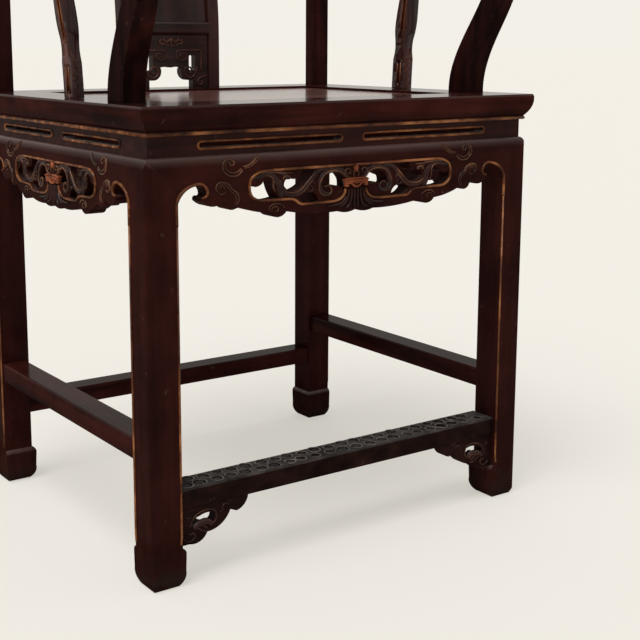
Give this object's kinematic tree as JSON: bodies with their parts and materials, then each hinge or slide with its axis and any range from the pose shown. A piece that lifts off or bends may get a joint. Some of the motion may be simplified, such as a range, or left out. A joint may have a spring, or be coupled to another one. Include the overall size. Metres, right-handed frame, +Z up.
{
  "type": "horseshoe back armchair",
  "caption": "Dark lacquered hardwood armchair with a sloping horseshoe rail, curved splat, waisted seat, pierced aprons and a carved footrest.",
  "frame": {"origin": "on the floor under the middle of the chair's length and width, which is the middle of the seat", "axes": "+Z up, -Y to the chair's front, +X to its left-hand side as someone sits in it"},
  "size_m": [0.616, 0.6339, 0.9825],
  "materials": {
    "lacquered_wood": "satin dark red-brown lacquer",
    "panel_wood": "glossy dark brown lacquer",
    "tread_wood": "worn charcoal-brown lacquer with carved rings"
  },
  "bodies": {
    "root": {"apron_front": "lacquered_wood", "apron_left": "lacquered_wood", "apron_rear": "lacquered_wood", "apron_right": "lacquered_wood", "batten_left": "lacquered_wood", "batten_right": "lacquered_wood", "footrest": "tread_wood", "leg_front_left": "lacquered_wood", "leg_front_right": "lacquered_wood", "leg_rear_left": "lacquered_wood", "leg_rear_right": "lacquered_wood", "post_front_left": "lacquered_wood", "post_front_right": "lacquered_wood", "post_rear_left": "lacquered_wood", "post_rear_right": "lacquered_wood", "post_side_left": "lacquered_wood", "post_side_right": "lacquered_wood", "rail_arm_left": "lacquered_wood", "rail_arm_right": "lacquered_wood", "rail_back": "lacquered_wood", "rail_pins": "lacquered_wood", "rail_shoulder_left": "lacquered_wood", "rail_shoulder_right": "lacquered_wood", "seat_panel": "panel_wood", "seat_rail_front": "lacquered_wood", "seat_rail_left": "lacquered_wood", "seat_rail_rear": "lacquered_wood", "seat_rail_right": "lacquered_wood", "spandrel_left": "lacquered_wood", "spandrel_right": "lacquered_wood", "splat_apron": "lacquered_wood", "splat_crest": "lacquered_wood", "splat_panel": "lacquered_wood", "splat_rail_lower": "lacquered_wood", "splat_rail_upper": "lacquered_wood", "splat_stile_left": "lacquered_wood", "splat_stile_right": "lacquered_wood", "stretcher_left": "lacquered_wood", "stretcher_rear": "lacquered_wood", "stretcher_right": "lacquered_wood", "waist_front": "lacquered_wood", "waist_left": "lacquered_wood", "waist_rear": "lacquered_wood", "waist_right": "lacquered_wood"}
  },
  "joints": []
}
